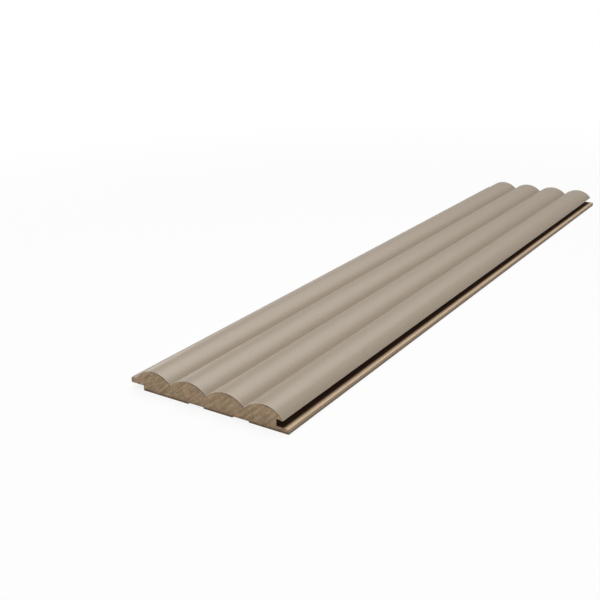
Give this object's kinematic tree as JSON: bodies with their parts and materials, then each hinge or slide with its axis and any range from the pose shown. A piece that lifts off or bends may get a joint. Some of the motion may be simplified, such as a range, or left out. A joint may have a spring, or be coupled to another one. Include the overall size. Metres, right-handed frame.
{
  "type": "fluted wall panel",
  "caption": "Wall panel of MDF with rounded flutes along its face, a decorative film over them, a tongue on one long edge and a groove with a longer lower lip on the other.",
  "frame": {"origin": "middle of the panel's length and width, on its back", "axes": "+Z out of the fluted face, +Y along the length, +X from the tongue edge to the grooved edge"},
  "size_m": [0.1286, 0.63, 0.016],
  "materials": {
    "mdf": "raw, sawn and milled",
    "film": "satin greige"
  },
  "bodies": {
    "root": {"mdf_board": "mdf", "face_film": "film"}
  },
  "joints": []
}
